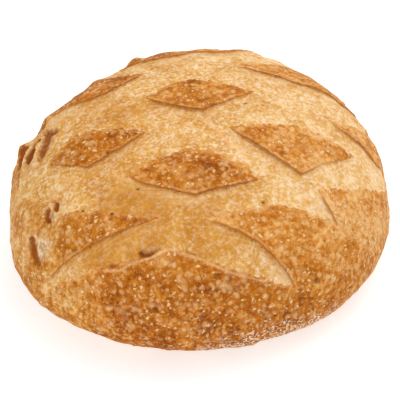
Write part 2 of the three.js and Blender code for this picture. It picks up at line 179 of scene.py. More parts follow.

# Tears where the skin split. The path follows the steep wall, with the hollow on its left, and the
# third number of each point is how strong the tear is there. Then come its depth and reach, how far
# its painted shadow reaches and how dark that is, and how much pale crumb shows in the hollow.
TEARS = [
    (
        [
            (-79, 9.5, 0), (-84, 13, 0.6), (-91, 17.3, 1), (-90.6, 6, 0.7), (-91, -3, 0.45),
            (-91.6, -17, 0),
        ],
        (3, 8.5, 11, 0.76, 0),
    ),
    (
        [(-92, 10.5, 0), (-95.5, 12, 0.5), (-104, 11.5, 1), (-102.8, 4, 0.8), (-101.2, -6, 0)],
        (3.8, 8, 13, 1.1, 0),
    ),
    (
        [(-105, 15, 0), (-108, 17, 0.8), (-111.5, 18.5, 1), (-111.5, 9, 0.6), (-109.8, -7, 0)],
        (2, 4.5, 4.5, 1, 0),
    ),
    (
        [
            (-97.3, -52, 0), (-100.8, -57.4, 0.8), (-101.8, -63, 1), (-100.8, -69, 0.8),
            (-96.5, -76, 0),
        ],
        (2.8, 19, 3.6, 0.85, 1),
    ),
    (
        [(-80.5, -43.8, 0), (-85, -45.5, 0.8), (-85.8, -49, 1), (-83, -54, 0)],
        (2.3, 8, 2, 0.85, 0.9),
    ),
    ([(-76.3, -41.5, 0), (-78.4, -45, 0.9), (-78.2, -49, 0)], (1.8, 2.2, 1.4, 1, 0)),
    (
        [(-34, -82, 0), (-32, -86, 1), (-28.5, -86.4, 0.8), (-25.5, -85, 0.3), (-19, -81.5, 0)],
        (3, 4, 2.2, 0.8, 0.4),
    ),
]
TEAR_WALL = 1.1  # width of the steep side of a tear
WALL_SHADE = 1.6  # how far the painted shadow reaches onto it
TEAR_NARROWEST = 0.3  # width of a tear at its ends, as a share of its full width
TEAR_RANGE = 40  # no tear reaches farther than this from its middle

# Ridges and creases: path, height, half width, and how pale or (below 0) how dark they are.
SEAMS = [
    (
        [
            (-57, -88.5), (-45, -91.3), (-39.5, -89.2), (-31.8, -88.5), (-22, -86.4), (-16.4, -85),
            (-11.5, -87.8), (-4.5, -89.9), (3.2, -92.7), (14.4, -97.6), (23.5, -99.7),
            (35.4, -101.1), (48, -100.4),
        ],
        0.9, 0.55, 0.7,
    ),
    (
        [(-34, -85), (-30.4, -88), (-26.2, -88), (-22.7, -86), (-18, -84), (-18.7, -80)],
        0.4, 0.5, 0.6,
    ),
    ([(-57, -86.5), (-49, -88.5), (-41, -87)], -0.6, 0.5, -0.6),
    ([(-37, -86.6), (-33, -86.8), (-29, -88.6)], -0.4, 0.5, -0.5),
    ([(-14, -86), (-9, -87), (-2, -89), (6, -92)], -0.5, 0.5, -0.5),
    ([(2, 4), (8.1, -3.1), (13, -12), (22.1, -20.6), (28.4, -34.6)], 0.4, 1.3, 0.6),
    ([(55.5, -32.5), (60, -36), (65.5, -40.9)], -0.5, 0.9, -0.6),
    ([(-62, -25.5), (-75, -19), (-85.7, -16.4), (-95.5, -16.4), (-104, -17.5)], -0.4, 0.6, -0.5),
    ([(-97, 22), (-94.8, 10), (-94.5, -3), (-94.6, -16)], 0.8, 1, 0.25),
    ([(-106, 16), (-105.8, 6), (-104, -3), (-103, -12)], 0.8, 0.9, 0.15),
    (
        [
            (0, -70), (10.3, -69.4), (14.8, -67.2), (20.7, -65.7), (27.3, -63.2), (32.8, -60.5),
            (41, -57),
        ],
        0.3, 0.55, 0.5,
    ),
]

PLAIN_TOAST = 0.4  # how deeply the crust is browned outside the tiles

# Spots, each with a place, an amount and a reach: where the crust is browner or (below 0) paler,
# and where the bands are deeper in colour.
CRUST_BAKE = [
    ((-2, -35), 0.12, 25),
    ((-6, 28), 0.1, 25),
    ((-88, -95), -0.36, 28),
    ((-102, -45), -0.05, 20),
    ((-112, 20), 0.3, 7),
    ((60, -80), -0.12, 30),
    ((60, -15), -0.14, 25),
    ((96, -50), -0.25, 32),
    ((104, -22), 0.08, 12),
    ((10, -150), 0.09, 30),
    ((8, -122), 0.12, 20),
    ((6, 90), -0.35, 8),
]
BAND_BAKE = [
    ((-35, -52), 0.85, 22),
    ((-43, -84), 1.1, 20),
    ((10, -78), 0.75, 26),
    ((-44, 10), 0.5, 20),
    ((6, 0), 0.2, 20),
    ((85, 25), 0.2, 50),
]

# Where the crust runs across a band.
CRUSTED_SPOTS = [((-88, -58), 1.4, 8), ((-97, -40), 1.4, 7)]

# Flour from the proofing basket, low on the front right.
FLOUR_SPOTS = [
    ((45, -150), 1, 18), ((76, -138), 1, 17), ((100, -122), 1, 14), ((116, -104), 1, 10),
    ((12, -160), 1, 15),
]

# Small burst bubbles: place, radius and depth.
PITS = [
    ((-48.5, -18.2), 1.5, 1.4),
    ((26, 18.6), 1.3, 1.2),
    ((36, -55.9), 1.3, 1.4),
    ((-33, -45), 1.2, 1.2),
    ((70, 38), 1.2, 1.1),
    ((-46.8, -59), 1.3, 1.4),
    ((-62.4, -52.9), 1.2, 1.3),
    ((74.5, -93), 2.4, 1.4),
    ((-27.7, -117), 2.4, 1.6),
]

# Domed bubbles under the crust: how many, their radii, how high they stand for their radius, and
# how pale the palest of them are.
BLISTERS = [(750, (1.3, 2.3), 0.22, 0.8), (140, (2.3, 4.2), 0.13, 0.4)]
BURST = (26, (1.3, 2.2))  # bubbles that broke and left a ring: how many, and their radii
BLISTER_WARP = 0.45  # how far a blister's outline strays from a circle

# Fine unevenness of the bands and of the crust: height, wavelength and seed.
BAND_GRAIN = [(0.22, 6, 1), (0.16, 2.4, 2)]
CRUST_GRAIN = [(0.3, 11, 3), (0.16, 4.5, 4), (0.08, 2, 6)]

# ---- The mesh ----
FINE_STEP = 0.885  # spacing on the dome
HEEL_STEP = 1.35
FOOT_STEP = 5
RING_SPACING = 0.93  # gap between rings, as a share of the spacing round a ring
SNAP = FINE_STEP * 0.5
WEAKEST_LIP = 0.12
PROFILE_STEPS = 200  # from the crown to the widest ring, and again to the foot
EDGE_STEPS = 20
EDGE_WOBBLE = 0.35  # how far a tile's edge strays from its smooth bow
WOBBLE_WAVES = (23, 11, 6)
TILE_MARGIN = 20  # a place farther from a tile isn't measured against it
SEAM_MARGIN = 5
SWAP_PASSES = 6

# ---- Camera and studio ----
CAMERA_TARGET = (0.78, -7.5, 36.1)
CAMERA_DISTANCE = 1000
CAMERA_ELEVATION = 45
CAMERA_LENS = 156.5

# Lights and floor, in metres and watts.
LIGHTS = {"key": ((0.5, 0.45, 1.1), 8.6), "fill": ((-0.7, -0.9, 0.6), 5.3)}
LIGHT_TARGET = (0, 0, 0.05)
LIGHT_SIZE = 1.2
SKY_STRENGTH = 0.7
FLOOR_HALF = 2.5
FLOOR_DROP = 0.0002  # keeps the floor clear of the foot
FLOOR_GREY = 0.62
FLOOR_GLOW = 0.54

# ---- Colours, as seen on a screen from 0 to 255 ----
BAND_RAMP = [
    (0.1, (188, 122, 38)),
    (0.3, (209, 150, 66)),
    (0.46, (226, 178, 106)),
    (0.62, (240, 204, 152)),
]
BAND_CREAM = (244, 217, 180)
BAND_TAN = (206, 138, 54)
BAND_FLECK = (248, 223, 188)
BAND_SPECK = (190, 124, 36)
STREAK_DARK = (190, 130, 56)
STREAK_PALE = (244, 212, 166)
# Painted shade on the band below a lip.
LIP_SHADE_PAINT = (190, 126, 50)
CRUST_RAMP = [
    (0.0, (233, 182, 118)),
    (0.17, (226, 168, 100)),
    (0.32, (211, 142, 64)),
    (0.55, (189, 112, 24)),
    (0.8, (164, 88, 5)),
    (1.0, (134, 62, 2)),
]
MOTTLE_DARK = (168, 90, 14)
MOTTLE_PALE = (232, 176, 106)
BLISTER_RING = (156, 84, 14)
BLISTER_SMALL = (238, 190, 128)
BLISTER_LARGE = (242, 197, 138)
# Painted highlight on the tops of the strongest blisters.
BLISTER_GLINT_PAINT = (250, 224, 184)
BURST_RIM = (236, 192, 130)
BURST_FLOOR = (160, 90, 28)
FLOUR_BROWN = (136, 74, 24)
FLOUR_PALE = (248, 224, 194)
# Pale rim of the tiles: thinner, paler crust, and partly a painted highlight on the crest.
RIM_PALE_AND_HIGHLIGHT = (238, 180, 112)
SEAM_PALE = (246, 194, 138)
# Painted shadow on the lips' walls and in the grooves under them.
GROOVE_SHADOW_PAINT = (158, 86, 18)
CRUMB_DARK = (186, 148, 106)
CRUMB_PALE = (232, 204, 164)
# Painted shadow in the tears, also the dark of the creases.
TEAR_SHADOW_AND_CREASE_DARK = (144, 68, 6)
PIT_DARK = (128, 76, 26)
GOLDEN_TINT = (0.91, 1, 1.09, 1)  # multiplies the linear colour

rng = np.random.default_rng(7)


# ---- Camera ----
def point_at(thing, target):
    thing.rotation_euler = (Vector(target) - thing.location).to_track_quat("-Z", "Y").to_euler()


def make_camera():
    camera = bpy.data.objects.new("camera", bpy.data.cameras.new("camera"))
    bpy.context.scene.collection.objects.link(camera)
    target = Vector(CAMERA_TARGET) * MM
    angle = math.radians(CAMERA_ELEVATION)
    away = Vector((0, -math.cos(angle), math.sin(angle)))
    camera.location = target + away * CAMERA_DISTANCE * MM
    point_at(camera, target)
    camera.data.lens = CAMERA_LENS
    bpy.context.scene.camera = camera


# ---- Small helpers ----
def smooth_step(low, high, x):
    t = np.clip((x - low) / (high - low), 0, 1)
    return t * t * (3 - 2 * t)


def mix(a, b, t):
    return a + (b - a) * t


def bell(distance, width):
    """1 at no distance, fading out over about the width."""
    return np.exp(-((distance / width) ** 2))


def spots_at(spots, u, v):
    """The sum of soft round spots, each with a place, an amount and a reach."""
    return sum(
        amount * np.exp(-((u - at[0]) ** 2 + (v - at[1]) ** 2) / reach**2)
        for at, amount, reach in spots
    )


NOISE_TABLE = rng.permutation(256)
NOISE_VALUES = rng.uniform(-1, 1, 256)


def value_noise(points, wave, seed):
    """Smooth random values between -1 and 1 that change over about one wave."""
    cell = points / wave + 31.7 * (seed + 1)
    base = np.floor(cell).astype(int)
    t = smooth_step(0, 1, cell - base)

    def corner(dx, dy, dz):
        x = NOISE_TABLE[(base[:, 0] + dx) & 255]
        y = NOISE_TABLE[(x + base[:, 1] + dy) & 255]
        return NOISE_VALUES[NOISE_TABLE[(y + base[:, 2] + dz) & 255]]

    def along_x(dy, dz):
        return mix(corner(0, dy, dz), corner(1, dy, dz), t[:, 0])

    near = mix(along_x(0, 0), along_x(1, 0), t[:, 1])
    far = mix(along_x(0, 1), along_x(1, 1), t[:, 1])
    return mix(near, far, t[:, 2])


# ---- The plain loaf ----
def profile(turn, radius, widest, foot):
    """Radius and height of the side view. turn is 0 at the crown, 1 where widest, 2 at the foot."""
    above = np.clip(turn, 0, 1) * math.pi / 2
    below = np.clip(turn - 1, 0, 1) * math.pi / 2
    dome_r = radius * np.sin(above) ** (2 / DOME_POWER)
    dome_z = mix(widest, LOAF_HEIGHT, np.clip(np.cos(above), 0, 1) ** (2 / DOME_POWER))
    heel_r = mix(foot, radius, np.clip(np.cos(below), 0, 1) ** (2 / HEEL_POWER))
    heel_z = widest * (1 - np.sin(below) ** (2 / HEEL_POWER))
    on_dome = turn <= 1
    return np.where(on_dome, dome_r, heel_r), np.where(on_dome, dome_z, heel_z)


TURNS = np.linspace(0, 2, 2 * PROFILE_STEPS + 1)
mean_r, mean_z = profile(TURNS, LOAF_RADIUS, WIDEST_HEIGHT, FOOT_RADIUS)
ARCS = np.concatenate([[0], np.cumsum(np.hypot(np.diff(mean_r), np.diff(mean_z)))])
FOOT_ARC = ARCS[-1]
WIDEST_ARC = ARCS[PROFILE_STEPS]


def tilted(mean, tilt, bearing):
    return mean + tilt[0] * np.cos(bearing) + tilt[1] * np.sin(bearing)


def plain_point(u, v):
    bearing = np.arctan2(v, u)
    scale = 1.0
    for lobes, cos, sin in OUTLINE_WAVES:
        scale = scale + cos * np.cos(lobes * bearing) + sin * np.sin(lobes * bearing)
    widest = tilted(WIDEST_HEIGHT, WIDEST_TILT, bearing)
    foot = tilted(FOOT_RADIUS, FOOT_SHIFT, bearing)
    turn = np.interp(np.hypot(u, v), ARCS, TURNS)
    r, z = profile(turn, LOAF_RADIUS * scale, widest, foot)
    return np.stack([r * np.cos(bearing), r * np.sin(bearing), z], axis=1)


def plain_normal(u, v):
    gap = 0.4
    along_u = plain_point(u + gap, v) - plain_point(u - gap, v)
    along_v = plain_point(u, v + gap) - plain_point(u, v - gap)
    normal = np.cross(along_u, along_v)
    return normal / np.linalg.norm(normal, axis=1, keepdims=True)


def lump_height(points):
    height = 0
    for wave, size, phase in LUMPS:
        k = 2 * math.pi / wave
        for axis in range(3):
            along, other = points[:, axis], points[:, (axis + 1) % 3]
            height = height + size / 2 * np.sin(k * along + phase[axis] + 0.6 * np.sin(k * other))
    return height


# ---- Tile edges and tears as polylines of [u, v, strength] ----
def bowed_edge(start, end, bow):
    """An edge bowed to the left of its direction, with a small random wobble."""
    start, end = np.array(start, float), np.array(end, float)
    run = end - start
    length = np.hypot(*run)
    left = np.array([-run[1], run[0]]) / length
    t = np.linspace(0, 1, EDGE_STEPS + 1)
    phases = rng.uniform(0, 2 * math.pi, len(WOBBLE_WAVES))
    wobble = sum(
        np.sin(length / wave * 2 * math.pi * t + phase)
        for wave, phase in zip(WOBBLE_WAVES, phases)
    )
    out = 4 * t * (1 - t) * bow + EDGE_WOBBLE / 2 * wobble * np.sin(math.pi * t) ** 0.5
    return start + run * t[:, None] + left * out[:, None]


def tile_lip(right_bottom, bottom_left, curl):
    """The curled line along the two front edges, with its groove on the left."""
    t = np.linspace(0, 1, EDGE_STEPS + 1)
    fade_in = np.clip(t / 0.2, 0, 1)
    near_bottom = smooth_step(0.7, 1, t) / 2
    first = fade_in * mix(curl[0], curl[1], near_bottom)
    second = (fade_in * mix(curl[1], curl[0], near_bottom))[::-1]
    points = np.vstack([right_bottom, bottom_left[1:]])
    return np.column_stack([points, np.concatenate([first, second[1:]])])


def make_tile(corners, bow, curl, toast):
    edges = [bowed_edge(corners[i], corners[(i + 1) % 4], bow[i]) for i in range(4)]
    left_top, top_right, right_bottom, bottom_left = edges
    return {
        "outline": np.vstack([edge[1:] for edge in edges]),
        "soft": np.vstack([left_top, top_right[1:]]),
        "lip": tile_lip(right_bottom, bottom_left, curl),
        "toast": toast,
    }


tiles = [make_tile(*tile) for tile in TILES.values()]


def nearest(line, u, v):
    """The nearest place on a polyline: how far, on which side (left is positive), where, which way
    is left there, and how strong the line is."""
    best = {"distance": np.full(u.shape, np.inf)}
    last = len(line) - 2
    for i in range(last + 1):
        a, b = line[i], line[i + 1]
        du, dv = b[0] - a[0], b[1] - a[1]
        length = math.hypot(du, dv)
        raw = ((u - a[0]) * du + (v - a[1]) * dv) / length**2
        t = np.clip(raw, 0, 1)
        at_u, at_v = a[0] + du * t, a[1] + dv * t
        distance = np.hypot(u - at_u, v - at_v)
        closer = distance < best["distance"]
        strength = 0.0
        if line.shape[1] > 2:
            past = (raw <= 0) & (i == 0) | (raw >= 1) & (i == last)
            strength = np.where(past, 0, mix(a[2], b[2], t))
        found = {
            "distance": distance,
            "side": np.sign(du * (v - a[1]) - dv * (u - a[0])),
            "strength": strength,
            "at_u": at_u,
            "at_v": at_v,
            "out_u": -dv / length,
            "out_v": du / length,
        }
        for key, value in found.items():
            best[key] = np.where(closer, value, best.get(key, 0.0))
    return best


def inside(outline, u, v):
    odd = np.zeros(u.shape, bool)
    previous = outline[-1]
    for point in outline:
        spans = (point[1] > v) != (previous[1] > v)
        with np.errstate(divide="ignore", invalid="ignore"):
            cross = (previous[0] - point[0]) * (v - point[1]) / (previous[1] - point[1]) + point[0]
        odd ^= spans & (u < cross)
        previous = point
    return odd


def near_box(points, u, v, margin):
    """The indices of the places in a box round the points."""
    low, high = points.min(axis=0) - margin, points.max(axis=0) + margin
    return np.nonzero((u > low[0]) & (u < high[0]) & (v > low[1]) & (v < high[1]))[0]


def tile_at(u, v):
    """The index of the tile at each place, or -1 in the bands."""
    found = np.full(u.shape, -1)
    for i, tile in enumerate(tiles):
        near = near_box(tile["outline"], u, v, 0)
        hit = near[inside(tile["outline"], u[near], v[near])]
        found[hit[found[hit] < 0]] = i
    return found


def lip_near(u, v, groove_side):
    """The nearest tile lip that has each place on its groove's side, or on its crust's side."""
    best = {key: np.zeros(u.shape) for key in ("strength", "at_u", "at_v", "out_u", "out_v")}
    best["distance"] = np.full(u.shape, np.inf)
    for tile in tiles:
        near = near_box(tile["outline"], u, v, TILE_MARGIN)
        found = nearest(tile["lip"], u[near], v[near])
        closer = (found["distance"] < best["distance"][near]) & ((found["side"] > 0) == groove_side)
        for key in best:
            best[key][near[closer]] = found[key][closer]
    return best


# ---- Relief: what the scoring and the baking add to the plain loaf ----
def scored_at(u, v):
    """How much of the scoring is left: all on the dome, none below the ends of the cuts."""
    return 1 - smooth_step(SCORED_RADIUS, SCORED_RADIUS + SCORED_FADE, np.hypot(u, v))


def soft_distance(u, v):
    """Distance to the nearest tile edge without a lip."""
    soft = np.full(u.shape, 99.0)
    for tile in tiles:
        near = near_box(tile["outline"], u, v, TILE_MARGIN)
        soft[near] = np.minimum(soft[near], nearest(tile["soft"], u[near], v[near])["distance"])
    return soft


def crust_height(u, v, index):
    """Height of the tiles, with how much pale rim and highlight, and how much painted shadow on a
    lip's wall, each place has.
    """
    height, rim, wall = np.zeros((3, len(u)))
    for i, tile in enumerate(tiles):
        here = np.nonzero(index == i)[0]
        closed = np.vstack([tile["outline"][-1:], tile["outline"]])
        edge = nearest(closed, u[here], v[here])["distance"]
        lip = nearest(tile["lip"], u[here], v[here])
        height[here] = CRUST_CROWN * (1 - np.exp(-edge / 7))
        height[here] += LIP_CURL * lip["strength"] * np.exp(-lip["distance"] / 3)
        rim[here] = bell(edge - RIM_INSET, RIM_WIDTH)
        # Painted shadow on the wall under a lip.
        wall[here] = smooth_step(0, 0.5, lip["strength"]) * bell(lip["distance"], LIP_WALL)
    return height, rim, wall


def band_height(lip, soft):
    climb = smooth_step(0, 13, soft)
    settle = mix(smooth_step(0, 6, lip["distance"]), 1, lip["strength"])
    swell = BAND_SWELL * smooth_step(5, 13, np.minimum(soft, lip["distance"]))
    groove = GROOVE_DEPTH * lip["strength"] * np.exp(-lip["distance"] / GROOVE_REACH)
    return swell - BAND_DEPTH * climb * settle - groove


def tear_relief(u, v):
    """Depth of the tears, with how much painted shadow each place has and how much crumb shows
    there.
    """
    height, dark, crumb = np.zeros((3, len(u)))
    for path, (depth, reach, shadow, darkness, bare) in TEARS:
        points = np.array(path, float)
        from_middle = np.hypot(u - points[:, 0].mean(), v - points[:, 1].mean())
        near = np.nonzero(from_middle < TEAR_RANGE)[0]
        wall = nearest(points, u[near], v[near])
        share = smooth_step(0, 0.5, wall["strength"])
        hollow = wall["side"] > 0
        scaled = wall["distance"] / mix(TEAR_NARROWEST, 1, wall["strength"])
        height[near] -= depth * share * bell(scaled, np.where(hollow, reach, TEAR_WALL))
        # Painted shadow in the hollow beside the wall and on the wall's outer side.
        beside = np.where(hollow, scaled / shadow, wall["distance"] / WALL_SHADE)
        dark[near] += darkness * share * bell(beside, 1)
        across = wall["distance"] / reach
        inner = smooth_step(0.04, 0.2, across) * (1 - smooth_step(0.75, 1.1, across))
        crumb[near] += np.where(hollow, bare * share * inner, 0)
    return height, dark, crumb


def seam_relief(u, v):
    """Height of the ridges and creases, with how pale and how dark each place is there."""
    height, pale, dark = np.zeros((3, len(u)))
    for path, rise, half_width, tone in SEAMS:
        points = np.array(path, float)
        near = near_box(points, u, v, SEAM_MARGIN)
        near_u, near_v = u[near], v[near]
        to_ends = [np.hypot(near_u - end[0], near_v - end[1]) for end in (points[0], points[-1])]
        line = nearest(points, near_u, near_v)["distance"]
        uneven = 1 + 0.6 * value_noise(np.column_stack([near_u, near_v, 0 * near_u]), 4, 21)
        shape = uneven * smooth_step(0, 7, np.minimum(*to_ends)) * bell(line, half_width)
        height[near] += rise * shape
        pale[near] += max(tone, 0) * shape
        dark[near] += max(-tone, 0) * shape
    return height, pale, dark


def closed_bands(u, v, to_edge):
    """How far crust covers the bands: fully in a few spots, and where they narrow at the back."""
    past_start = np.maximum(np.hypot(u, v) - BAND_CLOSING_START, 0)
    closing = BAND_CLOSING * past_start * smooth_step(-10, 30, v)
    narrowed = np.clip((closing - to_edge) / 3, 0, 1)
    return np.maximum(narrowed, spots_at(CRUSTED_SPOTS, u, v))


def relief(u, v):
    """Height over the plain loaf and the masks that the material reads, at each place."""
    index = tile_at(u, v)
    on_tile = index >= 0
    lip = lip_near(u, v, True)
    soft = soft_distance(u, v)
    scored = scored_at(u, v)
    crust, rim, wall = crust_height(u, v, index)
    tear, dark, crumb = tear_relief(u, v)
    seam, pale_seam, dark_seam = seam_relief(u, v)
    height = scored * (np.where(on_tile, crust, band_height(lip, soft)) + tear + seam)

    closed = closed_bands(u, v, np.minimum(soft, lip["distance"]))
    tile_share = np.clip(0.5 + np.where(on_tile, soft, -soft) / 6, 0, 1)
    tile_toast = np.array([PLAIN_TOAST] + [tile["toast"] for tile in tiles])
    # Painted shadow in the groove right under a lip.
    painted_groove_shadow = smooth_step(0, 0.5, lip["strength"]) * np.exp(-lip["distance"] / 0.6)
    # Painted shade spread over the band below a lip.
    painted_lip_shade = lip["strength"] * np.exp(-lip["distance"] / 5)
    masks = {
        "crust": np.maximum(closed, mix(1, tile_share, scored)),
        "toast": tile_toast[index + 1] + spots_at(CRUST_BAKE, u, v),
        # The slope along u makes the bands darker towards the left: partly a deeper bake, partly
        # painted shade on the left side.
        "bake": np.clip(0.25 - 0.003 * u + spots_at(BAND_BAKE, u, v), 0, 1.2),
        # Pale rim, partly a painted highlight on the crest.
        "rim": scored * rim,
        "seam": scored * pale_seam,
        # Painted shadow on and under the lips.
        "groove": scored * np.where(on_tile, wall, painted_groove_shadow),
        # Painted shade on the band below each lip.
        "shade": scored * np.where(on_tile, 0, painted_lip_shade),
        # Painted shadow of the tears, and the dark of the creases.
        "dark": scored * np.maximum(dark, dark_seam),
        "crumb": scored * crumb,
        "across": np.minimum(lip["distance"], 20),
        "side": smooth_step(95, 130, np.hypot(u, v)),
        "golden": smooth_step(50, 95, -u) * smooth_step(20, -10, v),
        "flour": spots_at(FLOUR_SPOTS, u, v),
    }
    return height, masks


# ---- Vertices: rings from the crown down to the foot ----
def ring_step(arc):
    """The spacing of vertices at a distance from the crown."""
    to_heel = smooth_step(SCORED_RADIUS + SCORED_FADE, WIDEST_ARC + 12, arc)
    return mix(FINE_STEP, HEEL_STEP, to_heel)


def ring_arcs():
    arcs = []
    arc = FINE_STEP
    while arc < FOOT_ARC - HEEL_STEP / 2:
        arcs.append(arc)
        arc += ring_step(arc) * RING_SPACING
    return arcs


def ring_bearings(radius, step, shift=0.0):
    """Bearings of the vertices of a ring, about a step apart."""
    count = max(6, round(2 * math.pi * radius / step))
    return 2 * math.pi * (np.arange(count) + shift) / count


def ring_places(arcs):
    """The unrolled places of all rings of the side, and how many there are in each ring."""
    places_u, places_v, counts = [], [], []
    for i, arc in enumerate(arcs):
        turn = np.interp(arc, ARCS, TURNS)
        radius, _ = profile(turn, LOAF_RADIUS, WIDEST_HEIGHT, FOOT_RADIUS)
        bearing = ring_bearings(float(radius), float(ring_step(arc)), i % 2 / 2)
        places_u.append(arc * np.cos(bearing))
        places_v.append(arc * np.sin(bearing))
        counts.append(len(bearing))
    return np.concatenate(places_u), np.concatenate(places_v), counts


def foot_rings():
    """The flat foot as rings of x and y, from its edge to its middle."""
    bearing = ring_bearings(FOOT_RADIUS, HEEL_STEP)
    radius = tilted(FOOT_RADIUS, FOOT_SHIFT, bearing)
    rings = [np.column_stack([radius * np.cos(bearing), radius * np.sin(bearing)])]
    for r in np.arange(FOOT_RADIUS - FOOT_STEP, FOOT_STEP / 2, -FOOT_STEP):
        bearing = ring_bearings(r, FOOT_STEP)
        rings.append(r * np.column_stack([np.cos(bearing), np.sin(bearing)]))
    return rings + [np.zeros((1, 2))]


# Rows of vertices across a lip, from the crust to the band. Elsewhere a vertex has no row.
NO_ROW = -9
CRUST_ROW, LIP_ROW, GROOVE_ROW, FLOOR_ROW = range(4)


def snap(u, v):
    """Moves the places beside a lip onto it or into its groove. Returns where each lies, where its
    relief is read, where it lay flat, and its row."""
    outer, inner = lip_near(u, v, True), lip_near(u, v, False)
    from_groove = outer["distance"] < inner["distance"]
    lip = {key: np.where(from_groove, outer[key], inner[key]) for key in outer}
    strength = lip["strength"] * scored_at(u, v)

    def across(distance):
        return lip["at_u"] + lip["out_u"] * distance, lip["at_v"] + lip["out_v"] * distance

    buried = tile_at(*across(0.8)) >= 0
    active = (strength >= WEAKEST_LIP) & (lip["distance"] <= 5 * SNAP) & ~buried
    row = np.full(u.shape, NO_ROW)
    row[active & ~from_groove] = CRUST_ROW
    row[active & from_groove] = GROOVE_ROW
    row[active & from_groove & (lip["distance"] > 3 * SNAP)] = FLOOR_ROW
    row[active & (lip["distance"] < SNAP)] = LIP_ROW

    def moved(on_lip, in_groove):
        """All places, with those in the lip's and the groove's row set this far across the lip."""
        rows = [row == LIP_ROW, row == GROOVE_ROW]
        axes = zip((u, v), across(on_lip), across(in_groove))
        return tuple(np.select(rows, [lip_at, groove_at], own) for own, lip_at, groove_at in axes)

    place = moved(LIP_OVERHANG * strength, mix(FINE_STEP, 0, strength))
    sample = moved(-0.2, 0.4)
    flat = moved(0, FINE_STEP)
    return place, sample, flat, row


# ---- Faces ----
def join_rings(first_upper, upper, first_lower, lower):
    """Joins two rings of any counts, always taking the step that lags behind round the loaf."""
    faces = []
    a = b = 0
    while a < upper or b < lower:
        upper_now, lower_now = first_upper + a % upper, first_lower + b % lower
        if b < lower and (a >= upper or (b + 1) / lower <= (a + 1) / upper):
            faces.append((upper_now, lower_now, first_lower + (b + 1) % lower))
            b += 1
        else:
            faces.append((upper_now, lower_now, first_upper + (a + 1) % upper))
            a += 1
    return faces


def all_faces(rings):
    """Faces from the crown's vertex over rings of these many vertices to the foot's middle."""
    firsts = [1 + sum(rings[:i]) for i in range(len(rings) + 1)]
    faces = [(0, 1 + k, 1 + (k + 1) % rings[0]) for k in range(rings[0])]
    for i in range(len(rings) - 1):
        faces += join_rings(firsts[i], rings[i], firsts[i + 1], rings[i + 1])
    last, tip = firsts[-2:]
    faces += [(tip, last + (k + 1) % rings[-1], last + k) for k in range(rings[-1])]
    return np.array(faces)


def leaping_edges(faces, row):
    """Edges that leave out a row across a lip, with the faces on their two sides."""
    face_rows = row[faces]
    known = (face_rows > NO_ROW).all(axis=1) & (np.ptp(face_rows, axis=1) > 1)
    edges = {}
    for index in np.nonzero(known)[0]:
        face = faces[index]
        for k in range(3):
            start, end = int(face[k]), int(face[(k + 1) % 3])
            if abs(row[start] - row[end]) > 1:
                key = (min(start, end), max(start, end))
                edges.setdefault(key, []).append((index, start, end, int(face[k - 1])))
    return [sides for sides in edges.values() if len(sides) == 2]


def swap_leaps(faces, row, flat):
    """Swaps such an edge for its faces' other diagonal where that leaves out fewer rows."""
    moved = set()

    def turns_left(a, b, c):
        (ua, va), (ub, vb), (uc, vc) = flat[a], flat[b], flat[c]
        return (ub - ua) * (vc - va) - (vb - va) * (uc - ua) > 0

    for (one, start, end, apex), (two, _, _, other) in leaping_edges(faces, row):
        if row[other] == NO_ROW or abs(row[apex] - row[other]) >= abs(row[start] - row[end]):
            continue
        if one in moved or two in moved:
            continue
        if turns_left(apex, start, other) and turns_left(other, end, apex):
            faces[one], faces[two] = (apex, start, other), (other, end, apex)
            moved.update((one, two))
    return len(moved)


# ---- Blisters and grain ----
def vertex_tree(points):
    tree = KDTree(len(points))
    for i, point in enumerate(points):
        tree.insert(point, i)
    tree.balance()
    return tree


def spot_field(tree, centres, radii, count):
    """1 at a spot's centre, 0 on its rim and negative outside, for the deepest spot at each vertex,
    with that spot's radius and a random tone between 0 and 1."""
    field, size, tone = np.full(count, -1.0), np.zeros(count), np.zeros(count)
    for centre, radius, own_tone in zip(centres, radii, rng.random(len(radii))):
        for _, index, distance in tree.find_range(centre, 2 * radius):
            depth = 1 - distance / radius
            if depth > field[index]:
                field[index], size[index], tone[index] = depth, radius, own_tone
    return field, size, tone


def scatter(points, weight, count, radii):
    """Random vertices for spots, more where the weight is higher, with a radius each."""
    chosen = rng.choice(len(points), size=count, replace=False, p=weight / weight.sum())
    low, high = radii
    return points[chosen], low + (high - low) * rng.random(count) ** 2


def build_surface():
    """Vertices in millimetres, faces, the unrolled places and the masks of the whole loaf."""
    side_u, side_v, counts = ring_places(ring_arcs())
    # The crown's vertex lies just off the middle, so that it has a bearing.
    u, v = np.concatenate([[1e-3], side_u]), np.concatenate([[0.0], side_v])
    place, sample, flat, row = snap(u, v)
    height, masks = relief(*sample)
    points = plain_point(*place)
    normal = plain_normal(*place)
    above_foot = smooth_step(0, UNEVEN_FADE, points[:, 2])
    uneven = above_foot * (lump_height(points) + spots_at(SWELLINGS, *place))
    points = points + normal * (height + uneven)[:, None]
    points += normal * (above_foot * texture_height(points, masks, place))[:, None]

    rings = foot_rings()
    foot = np.vstack(rings)
    points = np.vstack([points, np.column_stack([foot, np.zeros(len(foot))])])
    faces = all_faces(counts + [len(ring) for ring in rings[:-1]])
    rows = np.concatenate([row, np.full(len(foot), NO_ROW)])
    flat_places = np.vstack([np.column_stack(flat), foot])
    for _ in range(SWAP_PASSES):
        if not swap_leaps(faces, rows, flat_places):
            break
    for name, mask in masks.items():
        foot_mask = float(name in ("crust", "toast"))
        masks[name] = np.concatenate([mask, np.full(len(foot), foot_mask)])
    points[:, :2] -= MIDDLE
    places = np.vstack([np.column_stack([u, v]), foot])
    return points, faces, places, np.arange(len(points)) >= len(u), masks


def layered(points, layers):
    return sum(height * value_noise(points, wave, seed) for height, wave, seed in layers)


